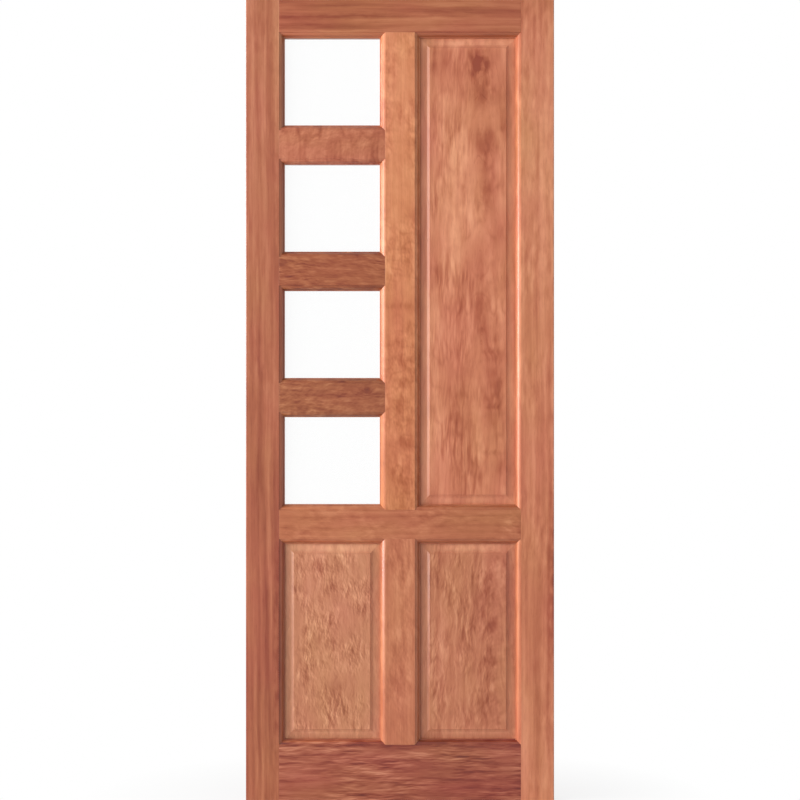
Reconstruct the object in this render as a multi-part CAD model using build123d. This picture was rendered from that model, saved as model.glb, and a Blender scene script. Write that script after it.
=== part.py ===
"""Joined door leaf with four glazed lights, a tall raised panel and two lower raised panels.

X runs across the leaf from the foot of the hinge edge, Y through its thickness with the
front facing -Y, and Z up. Every member is cut from a plain board, moulded along its edges,
scribed over the moulding it meets, and tenoned into it.
"""
import os

from build123d import *

os.makedirs("parts", exist_ok=True)

# Leaf
leaf_width = 762.0
leaf_height = 1981.0
leaf_thickness = 44.0

# Members, measured across the grain between sight edges
stile_width = 95.0
muntin_width = 100.0
top_rail_width = 94.0
middle_rail_width = 98.0
bottom_rail_width = 151.0
bar_width = 97.0
light_count = 4
lower_panel_height = 483.0

# Moulding along the edges: a quirk, a quarter round and a flat fillet
quirk_depth = 2.0
ovolo_radius = 10.0
fillet_width = 3.0
arris_radius = 2.0
overcut = 1.0

# Groove, glass rebate and tenons, all gauged from the middle of the thickness
groove_width = 12.0
groove_depth = 12.0
stub_length = 32.0
tenon_shoulder = 3.0
top_haunch = 25.0
foot_haunch = 20.0
twin_tenon_gap = 24.0
wedge_length = 62.0
wedge_thick_end = 6.0
wedge_thin_end = 0.8

# Raised and fielded panels
panel_thickness = 24.0
panel_play = 2.0
margin_width = 17.0
margin_rise = 2.4
bevel_width = 6.5
field_drop = 0.8

# Glass
glass_thickness = 4.0
glass_play = 2.0

# Derived sizes
half = leaf_thickness / 2
half_groove = groove_width / 2
moulding_width = ovolo_radius + fillet_width
moulding_depth = quirk_depth + ovolo_radius
rebate_width = moulding_width
scribe_reach = moulding_width + overcut

# Sight lines across the leaf
left_sight = stile_width
right_sight = leaf_width - stile_width
muntin_left = (leaf_width - muntin_width) / 2
muntin_right = muntin_left + muntin_width

# Sight lines up the leaf
foot_sight = bottom_rail_width
middle_low = foot_sight + lower_panel_height
middle_high = middle_low + middle_rail_width
head_sight = leaf_height - top_rail_width
light_height = (head_sight - middle_high - (light_count - 1) * bar_width) / light_count
light_pitch = light_height + bar_width
middle_line = (middle_low + middle_high) / 2

LOW, HIGH = "low", "high"


def box(x, y, z):
    """Solid box from three (from, to) pairs."""
    size = [b - a for a, b in (x, y, z)]
    return Pos(x[0], y[0], z[0]) * Box(*size, align=(Align.MIN, Align.MIN, Align.MIN))


def plate(u, v):
    """Flat rectangle from two (from, to) pairs."""
    return Pos(u[0], v[0]) * Rectangle(u[1] - u[0], v[1] - v[0], align=(Align.MIN, Align.MIN))


def front_moulding():
    """Waste beside the front moulding, from the sight edge at 0 to the quirk."""
    quirk = (moulding_width, -half + quirk_depth)
    toe = (fillet_width, -half + moulding_depth)
    clear = -half - overcut
    round_over = CenterArc((moulding_width, toe[1]), ovolo_radius, 180, 90)
    rest = Polyline(quirk, (moulding_width, clear), (-overcut, clear), (-overcut, toe[1]), toe)
    return make_face([round_over, rest])


def waste(kind):
    """Section of everything cut from one edge of a member, for a panel or for glass."""
    front = front_moulding()
    if kind == "panel":
        groove = plate((-overcut, groove_depth), (-half_groove, half_groove))
        return front + mirror(front, about=Plane.XZ) + groove
    return front + plate((-overcut, rebate_width), (-half_groove, half + overcut))


def run_up(section, low, high):
    """Section in X and Y run upwards, as along a stile or a muntin."""
    return extrude(Pos(0, 0, low) * section, high - low, dir=(0, 0, 1))


def run_across(section, left, right):
    """Section with its first axis up the leaf, run sideways as along a rail."""
    plane = Plane(origin=(right, 0, 0), x_dir=(0, 0, 1), z_dir=(-1, 0, 0))
    return extrude(plane * section, right - left, dir=(-1, 0, 0))


def moulded(board, run, edges):
    """Board with its edges cut: each edge is (sight line, side, kind, from, to)."""
    for sight, side, kind, start, end in edges:
        section = waste(kind)
        if side == HIGH:
            section = mirror(section, about=Plane.YZ)
        board -= run(Pos(sight, 0) * section, start, end)
    return board


def round_outer_edge(stile, x):
    """Take the sharp arrises off the edge of the leaf."""
    upright = stile.edges().filter_by(Axis.Z)
    outer = [e for e in upright if abs(e.center().X - x) < 0.01]
    return fillet(outer, arris_radius)


def left_stile_board():
    """Left stile: grooved beside the lower panel, rebated for glass above."""
    board = box((0, left_sight), (-half, half), (0, leaf_height))
    board = round_outer_edge(board, 0)
    return moulded(board, run_up, [
        (left_sight, HIGH, "panel", 0, middle_line),
        (left_sight, HIGH, "glass", middle_line, leaf_height),
    ])


def right_stile_board():
    """Right stile: grooved over its whole length."""
    board = box((right_sight, leaf_width), (-half, half), (0, leaf_height))
    board = round_outer_edge(board, leaf_width)
    return moulded(board, run_up, [(right_sight, LOW, "panel", 0, leaf_height)])


def rail_board(low, high, edges):
    """Rail that runs just past the stiles' face lines, moulded but not yet scribed."""
    ends = (left_sight - scribe_reach, right_sight + scribe_reach)
    centre = leaf_width / 2
    board = box(ends, (-half, half), (low, high))
    runs = []
    for sight, side, left_kind in edges:
        runs.append((sight, side, left_kind, ends[0], centre))
        runs.append((sight, side, "panel", centre, ends[1]))
    return moulded(board, run_across, runs)


def muntin_board(low, high, left_kind):
    """Muntin that runs just past the rails' face lines, moulded but not yet scribed."""
    ends = (low - scribe_reach, high + scribe_reach)
    board = box((muntin_left, muntin_right), (-half, half), ends)
    return moulded(board, run_up, [
        (muntin_left, LOW, left_kind, *ends),
        (muntin_right, HIGH, "panel", *ends),
    ])


def bar_board(low):
    """Light bar that runs just past the face lines of the stile and the muntin."""
    ends = (left_sight - scribe_reach, muntin_left + scribe_reach)
    high = low + bar_width
    board = box(ends, (-half, half), (low, high))
    return moulded(board, run_across, [
        (low, LOW, "glass", *ends),
        (high, HIGH, "glass", *ends),
    ])


def scribed(board, *met):
    """Board cut at its ends to the moulding of each member that it meets."""
    for member in met:
        board -= member
    return board


def through_tenons(bands):
    """Tenons of one rail, as (low, high) bands that run out to both edges of the leaf."""
    inner = left_sight + overcut
    y = (-half_groove, half_groove)
    tenons = []
    for low, high in bands:
        tenons.append(box((0, inner), y, (low, high)))
        tenons.append(box((leaf_width - inner, leaf_width), y, (low, high)))
    return tenons


def wedge(x_edge, inward, z_face, outward):
    """Wedge that lies on a tenon's edge at z_face, thick at the edge of the leaf."""
    x_in = x_edge + inward * wedge_length
    corners = [
        (x_edge, z_face),
        (x_edge, z_face + outward * wedge_thick_end),
        (x_in, z_face + outward * wedge_thin_end),
        (x_in, z_face),
    ]
    face = make_face(Polyline(*corners, close=True))
    return extrude(Plane.XZ.offset(-half_groove) * face, groove_width, dir=(0, -1, 0))


def joint_wedges(bands, x_edge, inward):
    """Wedges above and below each tenon of one joint."""
    wedges = []
    for low, high in bands:
        wedges.append(wedge(x_edge, inward, high, 1))
        wedges.append(wedge(x_edge, inward, low, -1))
    return wedges


def stub_up(low_face, high_face, x):
    """Stub tenons at both ends of a muntin, past the face lines it meets."""
    y = (-half_groove, half_groove)
    foot = box(x, y, (low_face - stub_length, low_face + overcut))
    head = box(x, y, (high_face - overcut, high_face + stub_length))
    return [foot, head]


def stub_across(left_face, right_face, z):
    """Stub tenons at both ends of a light bar."""
    y = (-half_groove, half_groove)
    left = box((left_face - stub_length, left_face + overcut), y, z)
    right = box((right_face - overcut, right_face + stub_length), y, z)
    return [left, right]


def inset(span, by):
    """Span made shorter by the same length at both ends."""
    return (span[0] + by, span[1] - by)


def fielded_face(x, z, face):
    """Raised work on one face: a sloping margin, a bevel, and a small drop round the field."""
    slope_top = half_groove + margin_rise
    field_top = panel_thickness / 2
    field_inset = margin_width + bevel_width
    steps = [
        (half_groove, 0),
        (slope_top, margin_width),
        (field_top - field_drop, field_inset),
        (field_top, field_inset),
    ]
    outlines = []
    for height, by in steps:
        (left, right), (low, high) = inset(x, by), inset(z, by)
        middle = ((left + right) / 2, face * height, (low + high) / 2)
        plane = Plane(middle, x_dir=(1, 0, 0), z_dir=(0, -1, 0))
        outlines.append(plane * Rectangle(right - left, high - low))
    return loft(outlines, ruled=True)


def raised_panel(x, z):
    """Panel for one sight opening, fielded on both faces, loose in its grooves."""
    reach = groove_depth - panel_play
    panel = box(inset(x, -reach), (-half_groove, half_groove), inset(z, -reach))
    for face in (-1, 1):
        panel += fielded_face(x, z, face)
    return panel


def glass_pane(x, z):
    """Pane against the front land, with play round its edges."""
    reach = rebate_width - glass_play
    y = (-half_groove, -half_groove + glass_thickness)
    return box(inset(x, -reach), y, inset(z, -reach))


def bead_stock():
    """Bead section: the moulding's shape again, from the glass to the back face."""
    back_of_glass = -half_groove + glass_thickness
    blank = plate((0, moulding_width), (back_of_glass, half))
    return blank - mirror(front_moulding(), about=Plane.XZ)


def mitred(bead, corners):
    """Bead cut off at the mitres, between the four (x, z) corners of its side."""
    face = make_face(Polyline(*corners, close=True))
    return bead & extrude(Plane.XZ * face, half + overcut, both=True)


def glazing_beads(x, z):
    """Four loose beads round one light, mitred into each other."""
    low_section = bead_stock()
    high_section = mirror(low_section, about=Plane.YZ)
    x_out, z_out = inset(x, -rebate_width), inset(z, -rebate_width)
    left = run_up(Pos(x[0], 0) * high_section, *z_out)
    right = run_up(Pos(x[1], 0) * low_section, *z_out)
    foot = run_across(Pos(z[0], 0) * high_section, *x_out)
    head = run_across(Pos(z[1], 0) * low_section, *x_out)
    inner = [(x[0], z[0]), (x[1], z[0]), (x[1], z[1]), (x[0], z[1])]
    outer = [(x_out[0], z_out[0]), (x_out[1], z_out[0]),
             (x_out[1], z_out[1]), (x_out[0], z_out[1])]
    beads = {}
    for side, (name, bead) in enumerate(
        (("bottom", foot), ("right", right), ("top", head), ("left", left))
    ):
        after = (side + 1) % 4
        corners = [outer[side], outer[after], inner[after], inner[side]]
        beads[name] = mitred(bead, corners)
    return beads


def save(solid, name):
    """Write one node, made of a solid or of several that don't touch."""
    solid.label = name
    export_step(solid, f"parts/{name}.step")


# Boards, each moulded along its edges but square at its ends
left_board = left_stile_board()
right_board = right_stile_board()
top_board = rail_board(head_sight, leaf_height, [(head_sight, LOW, "glass")])
middle_board = rail_board(middle_low, middle_high, [
    (middle_low, LOW, "panel"),
    (middle_high, HIGH, "glass"),
])
bottom_board = rail_board(0, foot_sight, [(foot_sight, HIGH, "panel")])
upper_board = muntin_board(middle_high, head_sight, "glass")
lower_board = muntin_board(foot_sight, middle_low, "panel")
light_lows = [middle_high + i * light_pitch for i in range(light_count)]
bar_lows = [low + light_height for low in light_lows[:-1]]

# Scribed shoulders: rails over the stiles, muntins over the rails, and bars over the
# left stile and the upper muntin
left_stile = left_board
right_stile = right_board
rails = {
    "top": scribed(top_board, left_board, right_board),
    "middle": scribed(middle_board, left_board, right_board),
    "bottom": scribed(bottom_board, left_board, right_board),
}
upper_muntin = scribed(upper_board, middle_board, top_board)
lower_muntin = scribed(lower_board, bottom_board, middle_board)
bars = [scribed(bar_board(low), left_board, upper_board) for low in bar_lows]

# Through tenons of the rails, with their wedges, in the stiles
clear_of_groove = groove_depth + tenon_shoulder
foot_top = foot_sight - clear_of_groove
foot_band = (foot_top - foot_haunch - twin_tenon_gap) / 2
tenon_bands = {
    "top": [(head_sight + clear_of_groove, leaf_height - top_haunch)],
    "middle": [(middle_low + clear_of_groove, middle_high - clear_of_groove)],
    "bottom": [(foot_haunch, foot_haunch + foot_band), (foot_top - foot_band, foot_top)],
}
wedge_nodes = {}
for level, bands in tenon_bands.items():
    for tenon in through_tenons(bands):
        rails[level] += tenon
        left_stile -= tenon
        right_stile -= tenon
    for side, x_edge, inward in (("left", 0, 1), ("right", leaf_width, -1)):
        wedges = joint_wedges(bands, x_edge, inward)
        wedge_nodes[f"wedges_{level}_{side}"] = wedges
        for piece in wedges:
            left_stile -= piece
            right_stile -= piece

# Stub tenons of the muntins and the bars
stub_inset = moulding_width + tenon_shoulder
muntin_tenon = (muntin_left + stub_inset, muntin_right - stub_inset)
foot_face = foot_sight - moulding_width
head_face = head_sight + moulding_width
for stub in stub_up(middle_high - moulding_width, head_face, muntin_tenon):
    upper_muntin += stub
    rails["middle"] -= stub
    rails["top"] -= stub
for stub in stub_up(foot_face, middle_low + moulding_width, muntin_tenon):
    lower_muntin += stub
    rails["bottom"] -= stub
    rails["middle"] -= stub
bar_faces = (left_sight - moulding_width, muntin_left + moulding_width)
for i, low in enumerate(bar_lows):
    for stub in stub_across(*bar_faces, (low + stub_inset, low + bar_width - stub_inset)):
        bars[i] += stub
        left_stile -= stub
        upper_muntin -= stub

# Nodes
save(left_stile, "left_stile")
save(right_stile, "right_stile")
save(upper_muntin, "upper_muntin")
save(lower_muntin, "lower_muntin")
for level, rail in rails.items():
    save(rail, f"{level}_rail")
for i, bar in enumerate(reversed(bars), start=1):
    save(bar, f"light_bar_{i}")
for name, wedges in wedge_nodes.items():
    save(Compound(children=wedges), name)

left_opening = (left_sight, muntin_left)
right_opening = (muntin_right, right_sight)
save(raised_panel(right_opening, (middle_high, head_sight)), "tall_panel")
save(raised_panel(left_opening, (foot_sight, middle_low)), "lower_left_panel")
save(raised_panel(right_opening, (foot_sight, middle_low)), "lower_right_panel")

for i, low in enumerate(reversed(light_lows), start=1):
    light = (low, low + light_height)
    save(glass_pane(left_opening, light), f"glass_{i}")
    for side, bead in glazing_beads(left_opening, light).items():
        save(bead, f"bead_{i}_{side}")
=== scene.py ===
import math

import bpy
import bmesh
from mathutils import Matrix, Vector


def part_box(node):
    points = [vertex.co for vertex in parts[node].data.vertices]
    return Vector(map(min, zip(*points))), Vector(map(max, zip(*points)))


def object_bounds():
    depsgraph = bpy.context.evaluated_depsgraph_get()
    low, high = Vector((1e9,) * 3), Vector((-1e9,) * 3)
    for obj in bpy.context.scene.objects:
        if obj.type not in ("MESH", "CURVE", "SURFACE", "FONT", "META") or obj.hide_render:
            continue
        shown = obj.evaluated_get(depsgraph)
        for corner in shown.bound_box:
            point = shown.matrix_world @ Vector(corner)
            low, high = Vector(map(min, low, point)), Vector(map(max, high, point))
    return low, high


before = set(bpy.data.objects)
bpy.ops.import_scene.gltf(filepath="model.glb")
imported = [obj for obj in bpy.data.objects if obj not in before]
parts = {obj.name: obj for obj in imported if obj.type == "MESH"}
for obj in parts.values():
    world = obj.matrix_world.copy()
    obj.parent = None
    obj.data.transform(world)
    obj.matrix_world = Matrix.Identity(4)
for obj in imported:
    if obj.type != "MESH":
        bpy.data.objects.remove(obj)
cadLow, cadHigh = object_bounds()
doorMiddle = (cadLow + cadHigh) / 2
frontFace = cadLow.y
print("loaded", len(parts), "parts of the door")


def linear(colour):
    # 0-255 paint values to the linear numbers that shader sockets take
    def one(v):
        v = min(max(v, 0), 255) / 255
        return v / 12.92 if v <= 0.04045 else ((v + 0.055) / 1.055) ** 2.4
    return tuple(one(v) for v in colour) + (1.0,)


def addNode(tree, kind, inputs=None, **settings):
    made = tree.nodes.new(kind)
    for key, value in settings.items():
        setattr(made, key, value)
    for key, value in (inputs or {}).items():
        if isinstance(value, bpy.types.NodeSocket):
            tree.links.new(value, made.inputs[key])
        else:
            made.inputs[key].default_value = value
    return made


def calc(tree, operation, *values):
    inputs = dict(enumerate(values))
    return addNode(tree, "ShaderNodeMath", inputs, operation=operation).outputs[0]


def vectorCalc(tree, operation, *values, out="Vector"):
    inputs = dict(enumerate(values))
    return addNode(tree, "ShaderNodeVectorMath", inputs, operation=operation).outputs[out]


def total(tree, values):
    out = values[0]
    for value in values[1:]:
        out = calc(tree, "ADD", out, value)
    return out


def centred(tree, value, strength):
    # 0..1 noise to a swing of +-strength round zero
    return calc(tree, "MULTIPLY", calc(tree, "SUBTRACT", value, 0.5), 2 * strength)


def remap(tree, value, fromLow, fromHigh, toLow=0.0, toHigh=1.0):
    # one range stretched over another, and held at both ends
    return addNode(tree, "ShaderNodeMapRange", {
        "Value": value, "From Min": fromLow, "From Max": fromHigh,
        "To Min": toLow, "To Max": toHigh,
    }).outputs[0]


def separate(tree, vector):
    return addNode(tree, "ShaderNodeSeparateXYZ", {0: vector}).outputs


def combine(tree, x, y, z=0.0):
    return addNode(tree, "ShaderNodeCombineXYZ", {0: x, 1: y, 2: z}).outputs[0]


def objectSpace(tree):
    return addNode(tree, "ShaderNodeTexCoord").outputs["Object"]


def shadeRamp(tree, value, stops, interpolation):
    # colour ramp with any number of (place, colour) stops
    ramp = addNode(tree, "ShaderNodeValToRGB", {0: value})
    ramp.color_ramp.interpolation = interpolation
    elements = ramp.color_ramp.elements
    for i, (place, colour) in enumerate(stops):
        stop = elements[i] if i < 2 else elements.new(place)
        stop.position = place
        stop.color = colour
    return ramp.outputs[0]


noise = {
    "deepShare": 0.7,  # fewer blotches through a board than across it
    "seedStep": (1.7, 3.1, 0.9),  # how far one seed lies from the next
}


def blotches(tree, vector, perMetre, seed, detail, roughness=0.5):
    # soft noise from 0 to 1, squeezed differently across and along the grain
    across, along = perMetre
    squeezed = addNode(tree, "ShaderNodeMapping", {
        "Vector": vector, "Scale": (across, across * noise["deepShare"], along),
        "Location": tuple(seed * step for step in noise["seedStep"]),
    }).outputs[0]
    return addNode(tree, "ShaderNodeTexNoise", {
        "Vector": squeezed, "Scale": 1.0, "Detail": detail, "Roughness": roughness,
    }).outputs[0]


def newMaterial(name):
    material = bpy.data.materials.new(name)
    material.use_nodes = True
    tree = material.node_tree
    tree.nodes.clear()
    output = addNode(tree, "ShaderNodeOutputMaterial")
    return material, tree, output


def dress(name, material):
    # one material for the whole of a part
    mesh = parts[name].data
    mesh.materials.clear()
    mesh.materials.append(material)


# Every board starts from this look. A "...Size" is how many blotches fit in a metre across
# and along the grain, and the plain number beside it is its swing of lightness.
plainBoard = {
    "tone": (190, 118, 90),  # middle colour, 0-255
    "grain": "up", "seed": 0.0,
    "pith": (0.30, 0.12, 0.01),  # where the heart of the tree lay: across, deep, lean
    "rings": 52.0, "ringShade": 0.10,  # rings in a metre, and how dark they are
    "drift": 0.010, "driftSize": (4.0, 1.2),  # slow bends of the rings, in metres
    "curl": 0.003, "curlSize": (18.0, 7.0),  # quick bends of the rings, in metres
    "streak": 0.24, "streakSize": (70.0, 2.0),  # long lines
    "dash": 0.16, "dashSize": (95.0, 12.0),  # short lines
    "squiggle": 0.0, "squiggleSize": (60.0, 20.0),  # thin curly lines
    "ripple": 0.0, "rippleSize": (90.0, 35.0),  # curly figure with a painted sheen, lighter on one side of each curl and darker on the other
    # weakest and strongest showing of dashes, squiggles and ripples
    "patchy": (0.35, 1.4), "patchSize": (12.0, 7.0),
    "calmEdge": 0.0,  # metres of calmer margin round a panel
    "mottle": 0.12, "mottleSize": (9.0, 3.5),  # clouds
    "fibre": 0.08, "fibreSize": (380.0, 12.0),  # fine lines
    "pore": 0.10, "poreSize": (1000.0, 50.0),  # short dark flecks
    "hue": 0.014, "hueSize": (13.0, 4.0),  # redder and yellower places
    "paintedLightUpwards": 0.0,  # painted light: lightness gained with each metre up an upright board, as the light falls off downwards
    # x, z, width and height on the leaf, darkness, and how far the rings are pushed aside
    "marks": [], "raggedSize": (75.0, 30.0),
}

# seed, detail and roughness of each layer of noise
layers = {
    "drift": (1, 1.0, 0.5), "curl": (2, 2.0, 0.5), "streak": (3, 2.0, 0.5),
    "dash": (4, 2.0, 0.5), "fibre": (5, 2.0, 0.6), "pore": (6, 1.0, 0.5),
    "mottle": (7, 2.0, 0.5), "hue": (8, 2.0, 0.5), "patch": (9, 1.0, 0.5),
    "squiggle": (10, 1.0, 0.5), "ripple": (11, 2.0, 0.5), "ragged": (12, 2.0, 0.5),
}

# How lines and marks are drawn on all boards. A "...Range" is the part of a noise between
# its weakest and its full effect.
figure = {
    "ringStops": ((0.0, 0.10), (0.40, 0.30), (0.78, 1.0), (1.0, 0.10)),  # place, darkness
    "ringNoise": 0.43, "ringDetail": 2.0, "ringWander": 0.8,  # uneven widths
    "ringLeast": 0.3, "ringGain": 2.4,  # uneven strengths
    "poreRange": (0.60, 0.74),
    "squiggleWidth": 0.09,
    "rippleShift": (0.0022, 0, 0.0012), "rippleGain": 3.0,  # metres, and strength of the painted sheen
    "rippleLean": 1.2, "rippleSqueeze": 0.5,  # slant, and a half makes them twice as wide
    "patchRange": (0.38, 0.60),
    "calmEdges": (-0.006, 0.004), "calmShare": 0.33,  # metres before and past the margin's end
    "raggedRange": (0.36, 0.64), "raggedGain": (0.5, 1.5),
    "ringLift": 0.7, "squiggleLift": 0.25,  # lightness given back for what dark lines take
}

# 0-255 steps from the tone, from the darkest to the lightest wood
shades = ((0.0, (-60, -64, -60)), (0.25, (-30, -33, -31)), (0.5, (0, 0, 0)),
          (0.75, (26, 30, 28)), (1.0, (44, 53, 49)))

finish = {
    "roughness": 0.38, "roughnessSwing": 0.07, "gloss": 0.64,
    "bumpStrength": 0.20, "bumpDistance": 0.0004,
    "fibreHeight": 0.5, "poreHeight": -0.8, "ringHeight": -0.5,
    "endDarken": 0.45, "endTone": 0.42, "endSharpness": 6.0,  # sawn ends
}


def layer(tree, vector, look, name):
    # the noise of one layer on one board
    seed, detail, roughness = layers[name]
    return blotches(tree, vector, look[name + "Size"], look["seed"] + seed, detail, roughness)


def grainSpace(tree, low, high, grain):
    # coordinates in metres from the board's middle: across, through, along
    middle = (low + high) / 2
    if grain == "up":
        turn, shift = (0, 0, 0), (-middle.x, -middle.y, -middle.z)
    else:
        turn, shift = (0, math.radians(90), 0), (-middle.z, -middle.y, middle.x)
    return addNode(tree, "ShaderNodeMapping", {
        "Vector": objectSpace(tree), "Rotation": turn, "Location": shift,
    }).outputs[0]


def ringDepth(tree, space, look):
    # distance from a leaning, wandering heart line, which draws straight grain or arches
    across, deep, along = separate(tree, space)
    heartAcross, heartDeep, lean = look["pith"]
    sideways = total(tree, [across,
                            centred(tree, layer(tree, space, look, "drift"), look["drift"]),
                            centred(tree, layer(tree, space, look, "curl"), look["curl"]),
                            heartAcross])
    inwards = total(tree, [deep, calc(tree, "MULTIPLY", along, lean), heartDeep])
    return calc(tree, "SQRT", calc(tree, "ADD", calc(tree, "MULTIPLY", sideways, sideways),
                                   calc(tree, "MULTIPLY", inwards, inwards)))


def softSpot(tree, x, z, width, height):
    # 1 in the middle of a mark, falling softly to 0 round it
    away = vectorCalc(tree, "SUBTRACT", objectSpace(tree), (x, 0, z))
    scaled = vectorCalc(tree, "MULTIPLY", away, (1 / width, 0, 1 / height))
    squared = vectorCalc(tree, "DOT_PRODUCT", scaled, scaled, out="Value")
    return calc(tree, "EXPONENT", calc(tree, "MULTIPLY", squared, -1.0))


def drawMarks(tree, space, depth, look):
    # marks darken or lighten the wood unevenly and push the rings aside; some of them are
    # painted light and shade
    ragged = remap(tree, layer(tree, space, look, "ragged"),
                   *figure["raggedRange"], *figure["raggedGain"])
    dark = []
    for x, z, width, height, darkness, push in look["marks"]:
        shape = softSpot(tree, x, z, width, height)
        depth = calc(tree, "ADD", depth, calc(tree, "MULTIPLY", shape, push))
        dark.append(calc(tree, "MULTIPLY", calc(tree, "MULTIPLY", shape, ragged), -darkness))
    return depth, dark


def ringLines(tree, depth, look):
    # each ring darkens slowly and ends sharply, and the rings are unevenly wide and strong
    count = calc(tree, "MULTIPLY", depth, look["rings"])
    uneven = addNode(tree, "ShaderNodeTexNoise", {
        "Vector": combine(tree, count, look["seed"]),
        "Scale": figure["ringNoise"], "Detail": figure["ringDetail"],
    }).outputs[0]
    moved = calc(tree, "ADD", count, centred(tree, uneven, figure["ringWander"]))
    stops = [(place, (v, v, v, 1)) for place, v in figure["ringStops"]]
    profile = shadeRamp(tree, calc(tree, "FRACT", moved), stops, "EASE")
    strength = calc(tree, "MULTIPLY", calc(tree, "ADD", uneven, figure["ringLeast"]),
                    look["ringShade"] * figure["ringGain"])
    return calc(tree, "MULTIPLY", profile, strength)


def ripples(tree, space, flow, look):
    # painted sheen on curly fibres at a slant to the rings: each curl is painted lighter on one
    # side and darker on the other, as if lit from one side
    depth, deep, along = separate(tree, flow)
    lean = math.copysign(figure["rippleLean"], look["pith"][0])
    slant = calc(tree, "MULTIPLY_ADD", separate(tree, space)["X"], lean, depth)
    slanted = combine(tree, calc(tree, "MULTIPLY", slant, figure["rippleSqueeze"]), deep, along)
    aside = vectorCalc(tree, "ADD", slanted, figure["rippleShift"])
    rise = calc(tree, "SUBTRACT", layer(tree, slanted, look, "ripple"),
                layer(tree, aside, look, "ripple"))
    return calc(tree, "MULTIPLY", rise, figure["rippleGain"])


def insideField(tree, low, high, edge):
    # 1 on the raised field of a panel, falling to a third on its sloping margins
    middle, half = (low + high) / 2, (high - low) / 2
    away = vectorCalc(tree, "SUBTRACT", objectSpace(tree), tuple(middle))
    sides = separate(tree, vectorCalc(tree, "ABSOLUTE", away))
    fromEdge = calc(tree, "MINIMUM", calc(tree, "SUBTRACT", half.x, sides["X"]),
                    calc(tree, "SUBTRACT", half.z, sides["Z"]))
    before, past = figure["calmEdges"]
    return remap(tree, fromEdge, edge + before, edge + past, figure["calmShare"])


def curlyFigure(tree, space, flow, low, high, look):
    # dashes, thin curly lines and ripples of painted sheen, which come and go in patches;
    # a curly line runs where its noise crosses the middle
    fromLine = calc(tree, "ABSOLUTE",
                    calc(tree, "SUBTRACT", layer(tree, flow, look, "squiggle"), 0.5))
    squiggle = remap(tree, fromLine, 0.0, figure["squiggleWidth"], -1.0, 0.0)
    patch = remap(tree, layer(tree, space, look, "patch"),
                  *figure["patchRange"], *look["patchy"])
    if look["calmEdge"]:
        patch = calc(tree, "MULTIPLY", patch, insideField(tree, low, high, look["calmEdge"]))
    return calc(tree, "MULTIPLY", total(tree, [
        centred(tree, layer(tree, flow, look, "dash"), look["dash"]),
        calc(tree, "MULTIPLY", squiggle, look["squiggle"]),
        calc(tree, "MULTIPLY", ripples(tree, space, flow, look), look["ripple"]),
    ]), patch)


def woodColour(tree, space, value, look):
    # lightness to the board's own tone, redder in some places and yellower in others
    plain = shadeRamp(tree, value, [
        (place, linear([v + step for v, step in zip(look["tone"], steps)]))
        for place, steps in shades], "LINEAR")
    warm = centred(tree, layer(tree, space, look, "hue"), look["hue"])
    turned = addNode(tree, "ShaderNodeHueSaturation", {
        "Hue": calc(tree, "ADD", warm, 0.5), "Color": plain,
    }).outputs[0]

    # sawn ends drink the stain and turn darker
    normal = addNode(tree, "ShaderNodeNewGeometry").outputs["Normal"]
    facing = separate(tree, normal)["Z" if look["grain"] == "up" else "X"]
    end = calc(tree, "POWER", calc(tree, "ABSOLUTE", facing), finish["endSharpness"])
    return addNode(tree, "ShaderNodeMix", {
        0: calc(tree, "MULTIPLY", end, finish["endDarken"]), 6: turned,
        7: linear([v * finish["endTone"] for v in look["tone"]]),
    }, data_type="RGBA").outputs[2]


def woodMaterial(name, low, high, look):
    material, tree, output = newMaterial(name)
    look = {**plainBoard, **look}
    space = grainSpace(tree, low, high, look["grain"])
    depth, dark = drawMarks(tree, space, ringDepth(tree, space, look), look)

    # lines follow the rings, so they bend with them
    deep, along = separate(tree, space)[1:]
    flow = combine(tree, depth, deep, along)
    rings = ringLines(tree, depth, look)
    streak = layer(tree, flow, look, "streak")
    fibre = layer(tree, flow, look, "fibre")
    pores = remap(tree, layer(tree, flow, look, "pore"), *figure["poreRange"])

    # everything is added to 0.5, the middle of the shades
    value = total(tree, [
        centred(tree, streak, look["streak"]),
        curlyFigure(tree, space, flow, low, high, look),
        centred(tree, layer(tree, space, look, "mottle"), look["mottle"]),
        centred(tree, fibre, look["fibre"]),
        calc(tree, "MULTIPLY", pores, -look["pore"]), calc(tree, "MULTIPLY", rings, -1.0),
        # the lightness gained up a board is painted light, and some marks are painted light and
        # shade
        calc(tree, "MULTIPLY", along, look["paintedLightUpwards"]), *dark,
        0.5 + look["ringShade"] * figure["ringLift"]
        + look["squiggle"] * figure["squiggleLift"],
    ])

    height = total(tree, [calc(tree, "MULTIPLY", fibre, finish["fibreHeight"]),
                          calc(tree, "MULTIPLY", pores, finish["poreHeight"]),
                          calc(tree, "MULTIPLY", rings, finish["ringHeight"])])
    bump = addNode(tree, "ShaderNodeBump", {
        "Height": height, "Strength": finish["bumpStrength"], "Distance": finish["bumpDistance"],
    }).outputs[0]
    roughness = calc(tree, "ADD", centred(tree, streak, finish["roughnessSwing"]),
                     finish["roughness"])
    shader = addNode(tree, "ShaderNodeBsdfPrincipled", {
        "Base Color": woodColour(tree, space, value, look), "Roughness": roughness,
        "Normal": bump, "Specular IOR Level": finish["gloss"],
    })
    tree.links.new(shader.outputs[0], output.inputs[0])
    return material


def dressInWood(name, look):
    dress(name, woodMaterial(name + "Wood", *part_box(name), look))
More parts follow.
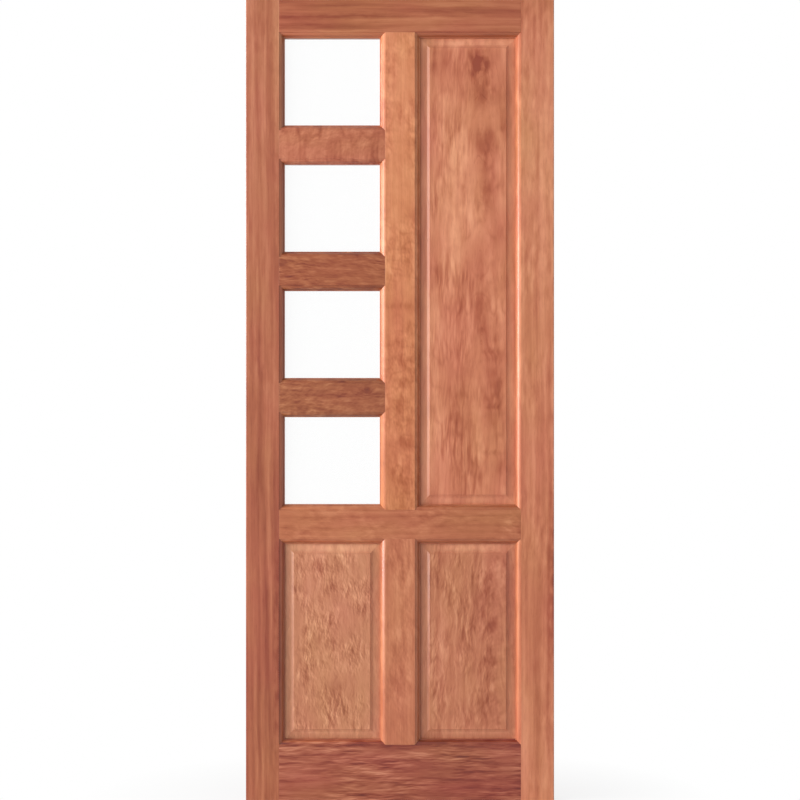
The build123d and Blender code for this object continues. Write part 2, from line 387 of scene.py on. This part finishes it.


# what each board has of its own; a negative darkness makes a pale mark, and the marks noted as
# painted are painted light and shade
boards = {
    "left_stile": {
        "tone": (172, 93, 60), "seed": 1, "pith": (0.42, 0.10, 0.004), "rings": 60,
        "ringShade": 0.04, "streak": 0.36, "paintedLightUpwards": 0.04,
        "marks": [
            (0.076, 0.360, 0.009, 0.360, 0.200, 0.000),  # inner edge
            (0.076, 1.500, 0.008, 0.300, -0.120, 0.000),
            (0.040, 1.900, 0.200, 0.160, -0.090, 0.000),  # whole width
            (0.050, 1.060, 0.200, 0.220, 0.060, 0.000),
        ],
    },
    "right_stile": {
        "tone": (205, 124, 86), "seed": 2, "pith": (-0.36, 0.14, 0.006), "rings": 45,
        "ringShade": 0.02, "streak": 0.34, "streakSize": (60.0, 1.6),
        "dash": 0.22, "dashSize": (90.0, 20.0), "fibre": 0.06, "paintedLightUpwards": 0.04,
        "marks": [
            (0.760, 0.580, 0.007, 0.160, 0.300, 0.000),  # outer edge
            (0.722, 1.980, 0.200, 0.070, 0.160, 0.000),  # whole width
            (0.715, 1.560, 0.200, 0.330, -0.100, 0.000),
            (0.748, 0.520, 0.012, 0.500, 0.100, 0.000),
        ],
    },
    "top_rail": {
        "tone": (176, 96, 59), "grain": "across", "seed": 3, "pith": (0.26, 0.05, 0.02),
        "ringShade": 0.05, "streak": 0.34, "streakSize": (70.0, 2.4),
        "marks": [
            (0.381, 1.941, 0.400, 0.008, 0.090, 0.000),
            (0.200, 1.930, 0.160, 0.060, 0.040, 0.000),
        ],
    },
    "middle_rail": {
        "tone": (183, 105, 66), "grain": "across", "seed": 4, "pith": (-0.20, 0.06, 0.02),
        "ringShade": 0.04, "streak": 0.10, "dash": 0.24, "dashSize": (70.0, 36.0),
        "ripple": 0.10, "rippleSize": (70.0, 44.0),
    },
    "bottom_rail": {
        "tone": (161, 80, 53), "grain": "across", "seed": 5, "pith": (0.34, 0.04, 0.03),
        "ringShade": 0.03, "curl": 0.006, "curlSize": (26.0, 14.0),
        "streak": 0.32, "streakSize": (60.0, 6.0), "dash": 0.40, "dashSize": (85.0, 18.0),
        "ripple": 0.50, "rippleSize": (95.0, 16.0),
        "marks": [
            (0.381, 0.140, 0.450, 0.010, 0.240, 0.000),  # painted shade along the upper edge, where the moulding faces up
            (0.660, 0.030, 0.200, 0.060, 0.130, 0.000),
            (0.190, 0.090, 0.150, 0.050, -0.060, 0.000),
        ],
    },
    "upper_muntin": {
        "tone": (211, 129, 84), "seed": 6, "pith": (0.18, 0.11, 0.01), "ringShade": 0.02,
        "streak": 0.10, "dash": 0.20, "dashSize": (48.0, 32.0),
        "squiggle": 0.06, "squiggleSize": (30.0, 30.0),
        "ripple": 0.24, "rippleSize": (50.0, 32.0),
        "mottle": 0.16, "mottleSize": (22.0, 13.0), "paintedLightUpwards": 0.14,
        "marks": [
            (0.385, 1.222, 0.040, 0.010, 0.120, 0.004),
            (0.395, 1.090, 0.030, 0.012, 0.120, 0.004),
            (0.396, 0.890, 0.018, 0.030, 0.140, 0.004),
            (0.378, 0.800, 0.030, 0.026, 0.110, 0.003),
        ],
    },
    "lower_muntin": {
        "tone": (196, 117, 79), "seed": 7, "pith": (0.20, 0.10, -0.02), "ringShade": 0.02,
        "streak": 0.14, "dash": 0.22, "dashSize": (60.0, 24.0),
        "ripple": 0.20, "rippleSize": (60.0, 36.0),
        "mottle": 0.20, "mottleSize": (14.0, 8.0), "hue": 0.006,
    },
    "light_bar_1": {
        "tone": (184, 102, 69), "grain": "across", "seed": 8, "pith": (0.02, 0.05, 0.06),
        "ringShade": 0.01, "curl": 0.010, "curlSize": (20.0, 45.0),
        "streak": 0.06, "dash": 0.20, "dashSize": (30.0, 60.0),
        "squiggle": 0.18, "squiggleSize": (19.0, 32.0),
        "ripple": 0.34, "rippleSize": (44.0, 50.0), "patchy": (0.8, 1.4),
    },
    "light_bar_2": {
        "tone": (159, 82, 43), "grain": "across", "seed": 9, "pith": (-0.05, 0.06, 0.05),
        "ringShade": 0.04, "curl": 0.008, "curlSize": (25.0, 18.0),
        "streak": 0.10, "dash": 0.24, "dashSize": (85.0, 32.0),
        "squiggle": 0.04, "squiggleSize": (65.0, 22.0),
        "ripple": 0.38, "rippleSize": (96.0, 28.0), "patchy": (0.7, 1.3), "hue": 0.006,
    },
    "light_bar_3": {
        "tone": (161, 88, 49), "grain": "across", "seed": 10, "pith": (0.04, 0.05, -0.07),
        "rings": 90, "ringShade": 0.05, "curl": 0.008, "curlSize": (25.0, 22.0),
        "streak": 0.12, "dash": 0.34, "dashSize": (70.0, 36.0),
        "squiggle": 0.08, "squiggleSize": (60.0, 26.0),
        "ripple": 0.48, "rippleSize": (70.0, 34.0), "patchy": (0.7, 1.3), "hue": 0.006,
        "marks": [
            (0.300, 1.013, 0.015, 0.011, 0.260, 0.018),  # knot
        ],
    },
    "tall_panel": {
        "tone": (208, 127, 89), "seed": 11, "pith": (-0.03, 0.03, 0.05), "rings": 45,
        "ringShade": 0.03, "drift": 0.014, "curl": 0.008, "curlSize": (22.0, 9.0),
        "streak": 0.18, "streakSize": (40.0, 3.0), "dash": 0.18, "dashSize": (64.0, 14.0),
        "squiggle": 0.09, "squiggleSize": (38.0, 11.0),
        "ripple": 0.28, "rippleSize": (62.0, 11.0), "patchy": (0.3, 1.6), "calmEdge": 0.034,
        "mottle": 0.22, "mottleSize": (22.0, 7.0), "fibre": 0.06,
        "marks": [
            (0.580, 1.826, 0.024, 0.030, 0.340, 0.007),  # knot
            (0.574, 1.826, 0.044, 0.038, 0.190, 0.000),
            (0.590, 1.752, 0.030, 0.040, 0.290, 0.006),  # lower knot
            (0.556, 1.790, 0.034, 0.090, 0.060, 0.000),
            (0.466, 1.836, 0.012, 0.040, 0.200, 0.000),
            (0.524, 1.480, 0.040, 0.260, -0.160, 0.000),
            (0.592, 1.605, 0.020, 0.045, 0.240, 0.005),
            (0.584, 1.490, 0.018, 0.050, 0.240, 0.004),
            (0.592, 1.270, 0.030, 0.130, 0.110, 0.004),
            (0.622, 1.100, 0.016, 0.100, 0.120, 0.005),
            (0.555, 0.960, 0.050, 0.320, 0.100, -0.004),
            (0.472, 1.000, 0.024, 0.500, -0.060, 0.000),
            (0.606, 1.110, 0.026, 0.008, 0.130, 0.006),
            (0.629, 1.035, 0.006, 0.045, 0.140, 0.003),
            (0.610, 0.973, 0.020, 0.007, 0.150, 0.006),
            (0.612, 0.860, 0.022, 0.007, 0.180, 0.006),
            (0.630, 0.825, 0.006, 0.030, 0.140, 0.003),
            (0.533, 1.250, 0.010, 0.110, 0.130, 0.002),
            (0.518, 0.880, 0.012, 0.170, 0.140, 0.002),
            (0.549, 1.875, 0.120, 0.012, -0.240, 0.000),  # painted sheen: pale head margin
            (0.549, 0.742, 0.120, 0.009, -0.120, 0.000),  # painted light: pale foot margin
            (0.660, 1.310, 0.008, 1.200, -0.080, 0.000),  # painted light: pale right margin, which faces away from the lamps
        ],
    },
    "lower_left_panel": {
        "tone": (199, 129, 92), "seed": 12, "pith": (0.24, 0.08, 0.02), "ringShade": 0.02,
        "curl": 0.012, "curlSize": (30.0, 22.0),
        "streak": 0.06, "dash": 0.30, "dashSize": (66.0, 28.0),
        "squiggle": 0.03, "squiggleSize": (58.0, 24.0),
        "ripple": 0.29, "rippleSize": (95.0, 46.0),
        "patchy": (0.3, 1.7), "patchSize": (24.0, 14.0), "calmEdge": 0.034, "mottle": 0.14,
        "marks": [
            (0.208, 0.527, 0.020, 0.018, 0.140, 0.002),
            (0.176, 0.392, 0.022, 0.022, 0.130, 0.002),
            (0.228, 0.262, 0.036, 0.036, 0.120, 0.002),
            (0.213, 0.624, 0.120, 0.012, -0.220, 0.000),  # painted sheen: pale head margin
            (0.213, 0.168, 0.120, 0.008, -0.120, 0.000),  # painted light: pale foot margin
            (0.324, 0.390, 0.008, 0.600, -0.080, 0.000),  # painted light: pale right margin, which faces away from the lamps
        ],
    },
    "lower_right_panel": {
        "tone": (193, 116, 81), "seed": 13, "pith": (-0.06, 0.03, 0.06), "rings": 80,
        "ringShade": 0.02, "curl": 0.013, "curlSize": (26.0, 15.0),
        "dash": 0.28, "dashSize": (70.0, 22.0), "squiggle": 0.09, "squiggleSize": (42.0, 15.0),
        "ripple": 0.25, "rippleSize": (85.0, 30.0),
        "patchy": (0.4, 1.5), "patchSize": (22.0, 10.0), "calmEdge": 0.034,
        "marks": [
            (0.596, 0.510, 0.026, 0.038, 0.150, 0.004),
            (0.599, 0.420, 0.020, 0.018, 0.110, 0.004),
            (0.600, 0.335, 0.020, 0.030, 0.150, 0.004),
            (0.594, 0.222, 0.022, 0.046, 0.160, 0.004),
            (0.549, 0.624, 0.120, 0.012, -0.220, 0.000),  # painted sheen: pale head margin
            (0.549, 0.168, 0.120, 0.008, -0.120, 0.000),  # painted light: pale foot margin
            (0.660, 0.390, 0.008, 0.600, -0.080, 0.000),  # painted light: pale right margin, which faces away from the lamps
        ],
    },
}

for name, look in boards.items():
    dressInWood(name, look)
print("boards and panels finished")


# the tone of each side is painted light and shade: darkest on the left beads, which face away
# from the lamps, lightest on the right ones, which face them, and darker on top than at the
# bottom
beads = {
    "tone": {"top": (182, 112, 86), "bottom": (186, 116, 89),
             "left": (178, 108, 82), "right": (190, 118, 90)},
    "look": {"pith": (0.25, 0.10, 0.01), "ringShade": 0.06}, "firstSeed": 20,
}
wedges = {
    "look": {"tone": (214, 142, 98), "grain": "across", "pith": (0.03, 0.04, 0.02),
             "rings": 150, "hue": 0.004}, "firstSeed": 50,
}

sides = list(beads["tone"])
for name in parts:
    if name.startswith("bead_"):
        number, side = name.split("_")[1:]
        dressInWood(name, {
            **beads["look"], "tone": beads["tone"][side],
            "grain": "across" if side in ("top", "bottom") else "up",
            "seed": beads["firstSeed"] + len(sides) * int(number) + sides.index(side),
        })
    elif name.startswith("wedges_"):
        dressInWood(name, {**wedges["look"], "seed": wedges["firstSeed"] + len(name)})
print("beads and wedges finished")


pane = {
    "colour": (0.97, 0.99, 0.98, 1), "roughness": 0.0, "alpha": 0.05, "ior": 1.5,
    "waveSize": (7.0, 9.0), "waveDetail": 1.0, "waveStrength": 0.05, "waveHeight": 0.0004,
}


def glassMaterial():
    material, tree, output = newMaterial("clearGlass")
    wave = blotches(tree, objectSpace(tree), pane["waveSize"], 0.0, pane["waveDetail"])
    bump = addNode(tree, "ShaderNodeBump", {
        "Height": wave, "Strength": pane["waveStrength"], "Distance": pane["waveHeight"],
    }).outputs[0]
    shader = addNode(tree, "ShaderNodeBsdfPrincipled", {
        "Base Color": pane["colour"], "Roughness": pane["roughness"],
        "Alpha": pane["alpha"], "Normal": bump, "IOR": pane["ior"],
    })
    tree.links.new(shader.outputs[0], output.inputs[0])
    return material


clearGlass = glassMaterial()
for name in parts:
    if name.startswith("glass_"):
        dress(name, clearGlass)
print("panes finished")


arris = {"weld": 0.00002, "width": 0.00045, "segments": 2, "angle": 32.0}  # metres, degrees

for name, part in parts.items():
    if name.startswith("glass_"):
        continue
    weld = part.modifiers.new("joined faces", "WELD")
    weld.merge_threshold = arris["weld"]
    soften = part.modifiers.new("softened arris", "BEVEL")
    soften.width = arris["width"]
    soften.segments = arris["segments"]
    soften.limit_method = "ANGLE"
    soften.angle_limit = math.radians(arris["angle"])
    soften.use_clamp_overlap = True
print("arrises softened")


studio = {
    "floorSize": 6.0, "floorColour": (0.80, 0.80, 0.80, 1), "white": (1, 1, 1, 1),
    "shadow": 0.20, "shadowRange": (0.3, 0.8),  # strength, and metres over which it fades
    "worldStrength": 0.33,
    # name, where it stands, watts, size
    "lamps": (("windowLight", (-7.0, -2.9, 2.4), 480.0, 3.0),
              ("roomLight", (-4.1, -4.5, 1.6), 118.0, 2.5),
              ("rimLight", (-7.2, -1.1, 1.6), 165.0, 1.5),
              ("backLight", (-3.0, 5.0, 2.6), 160.0, 3.0)),
}


def seenDirectly(tree):
    # 1 for the rays that should meet the white background
    path = addNode(tree, "ShaderNodeLightPath")
    seen = calc(tree, "MAXIMUM", path.outputs["Is Camera Ray"], path.outputs["Is Glossy Ray"])
    return calc(tree, "MAXIMUM", seen, path.outputs["Is Transmission Ray"])


def floorMaterial():
    # the shadow shows near the foot of the door and fades into plain white further off
    material, tree, output = newMaterial("paleFloor")
    paint = addNode(tree, "ShaderNodeBsdfDiffuse", {"Color": studio["floorColour"]})
    glow = addNode(tree, "ShaderNodeEmission", {"Color": studio["white"], "Strength": 1.0})
    foot = (doorMiddle.x, doorMiddle.y, cadLow.z)
    away = vectorCalc(tree, "DISTANCE", objectSpace(tree), foot, out="Value")
    shown = remap(tree, away, *studio["shadowRange"], studio["shadow"], 0.0)
    share = calc(tree, "MULTIPLY", seenDirectly(tree), calc(tree, "SUBTRACT", 1.0, shown))
    mixed = addNode(tree, "ShaderNodeMixShader", {
        0: share, 1: paint.outputs[0], 2: glow.outputs[0],
    })
    tree.links.new(mixed.outputs[0], output.inputs[0])
    return material


bm = bmesh.new()
bmesh.ops.create_grid(bm, x_segments=1, y_segments=1, size=studio["floorSize"] / 2)
floorMesh = bpy.data.meshes.new("floor")
bm.to_mesh(floorMesh)
bm.free()
floorMesh.transform(Matrix.Translation((doorMiddle.x, 0, cadLow.z)))
floorMesh.materials.append(floorMaterial())
floor = bpy.data.objects.new("floor", floorMesh)
bpy.context.scene.collection.objects.link(floor)

world = bpy.data.worlds.new("paleStudio")
bpy.context.scene.world = world
world.use_nodes = True
tree = world.node_tree
tree.nodes.clear()
strength = remap(tree, seenDirectly(tree), 0.0, 1.0, studio["worldStrength"])
sky = addNode(tree, "ShaderNodeBackground", {"Color": studio["white"], "Strength": strength})
addNode(tree, "ShaderNodeOutputWorld", {0: sky.outputs[0]})


def softLamp(name, place, power, size):
    # square lamp turned to the middle of the door
    lamp = bpy.data.lights.new(name, "AREA")
    lamp.energy = power
    lamp.shape = "SQUARE"
    lamp.size = size
    lampObject = bpy.data.objects.new(name, lamp)
    lampObject.location = place
    lampObject.rotation_euler = (doorMiddle - Vector(place)).to_track_quat("-Z", "Y").to_euler()
    bpy.context.scene.collection.objects.link(lampObject)


for lamp in studio["lamps"]:
    softLamp(*lamp)

shot = {"lens": 100.0, "sensor": 36.0, "framedHeight": 1.978}  # mm, mm, metres of the front face

cameraData = bpy.data.cameras.new("camera")
cameraData.lens = shot["lens"]
cameraData.sensor_width = shot["sensor"]
distance = shot["framedHeight"] * shot["lens"] / shot["sensor"]
camera = bpy.data.objects.new("camera", cameraData)
camera.location = (doorMiddle.x, frontFace - distance, doorMiddle.z)
camera.rotation_euler = (math.radians(90), 0, 0)
bpy.context.scene.collection.objects.link(camera)
bpy.context.scene.camera = camera
bpy.context.scene.view_settings.view_transform = "Standard"
print("studio and camera set")
